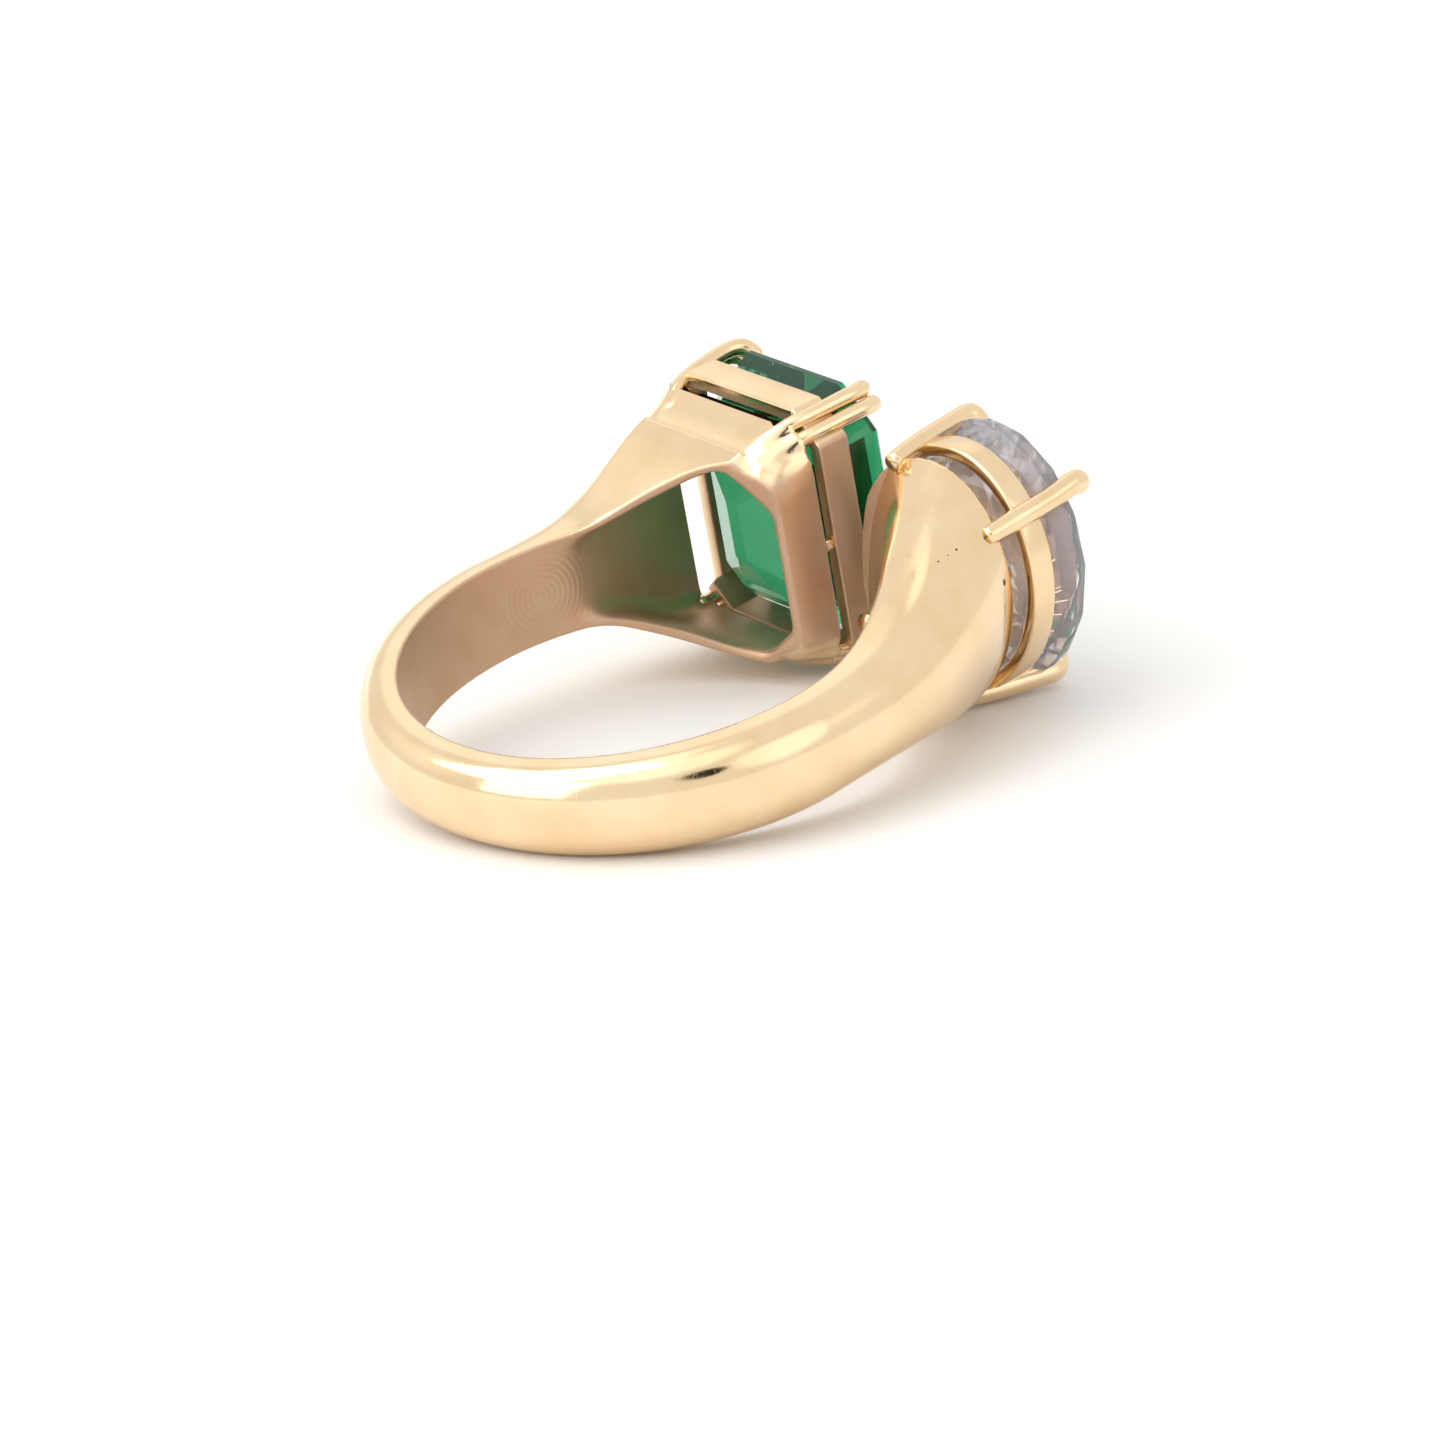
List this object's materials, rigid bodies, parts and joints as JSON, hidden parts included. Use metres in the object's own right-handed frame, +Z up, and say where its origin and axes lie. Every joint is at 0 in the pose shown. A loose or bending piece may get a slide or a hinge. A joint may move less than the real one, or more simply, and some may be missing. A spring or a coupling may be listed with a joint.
{
  "type": "cocktail ring",
  "caption": "Two-stone yellow gold cocktail ring: a green emerald-cut stone in an open box setting beside a white oval stone in a trumpet cup.",
  "frame": {"origin": "centre of the finger hole, midway along it", "axes": "the ring lies on its side on a flat table: +Z is up, +X points from the palm side of the band to the stones, +Y points to the green stone; the finger's axis leans 9.9 degrees back and 4.6 degrees sideways from +Z"},
  "size_m": [0.0247, 0.0201, 0.0113],
  "materials": {
    "gold": "polished yellow gold",
    "green_gem": "polished facets",
    "white_gem": "polished facets"
  },
  "bodies": {
    "root": {"shank": "gold", "green_collet": "gold", "green_rail": "gold", "green_claw_1": "gold", "green_claw_2": "gold", "green_claw_3": "gold", "green_claw_4": "gold", "green_claw_5": "gold", "green_claw_6": "gold", "green_claw_7": "gold", "green_claw_8": "gold", "white_gallery": "gold", "white_claw_1": "gold", "white_claw_2": "gold", "white_claw_3": "gold", "white_claw_4": "gold", "green_stone": "green_gem", "white_stone": "white_gem"}
  },
  "joints": []
}
